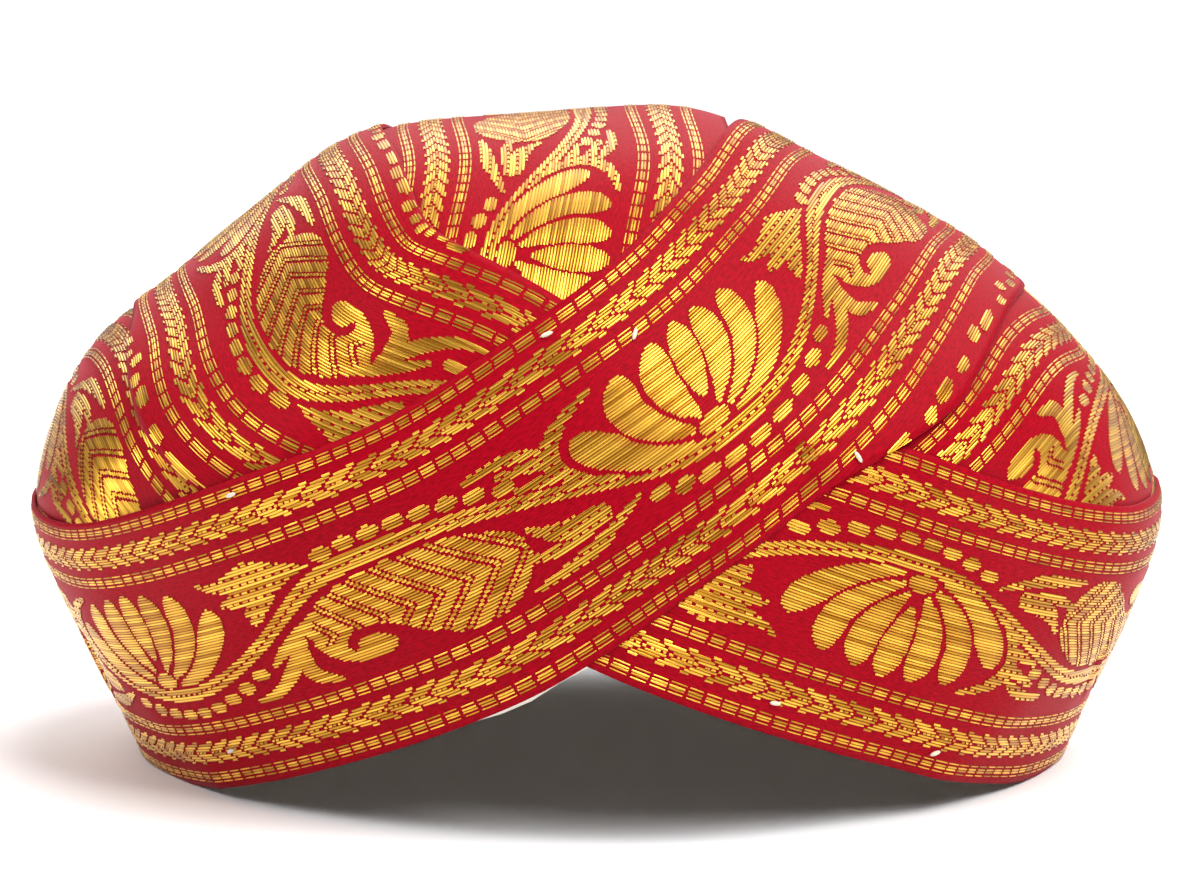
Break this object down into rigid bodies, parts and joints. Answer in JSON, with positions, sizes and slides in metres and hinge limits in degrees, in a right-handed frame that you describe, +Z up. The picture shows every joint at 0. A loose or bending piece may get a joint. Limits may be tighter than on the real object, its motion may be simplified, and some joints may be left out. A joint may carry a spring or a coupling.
{
  "type": "tied turban pagri",
  "caption": "Ready-tied pagri turban of red silk ribbon brocaded in gold, with crossed front bands over a low domed crown and an arched open rim.",
  "frame": {"origin": "on the table, under the middle of the turban's bounding box", "axes": "+Z up from the table to the crown, the front with the crossing looks along -Y, +X is on the right as seen from the front"},
  "size_m": [0.2284, 0.2246, 0.1314],
  "materials": {
    "red_brocade": "satin silk with gold thread",
    "white_lining": "matt"
  },
  "bodies": {
    "root": {"lining_cap": "white_lining", "crown_ribbon": "red_brocade", "left_side_ribbon": "red_brocade", "right_side_ribbon": "red_brocade", "under_wrap": "red_brocade", "over_wrap": "red_brocade"}
  },
  "joints": []
}
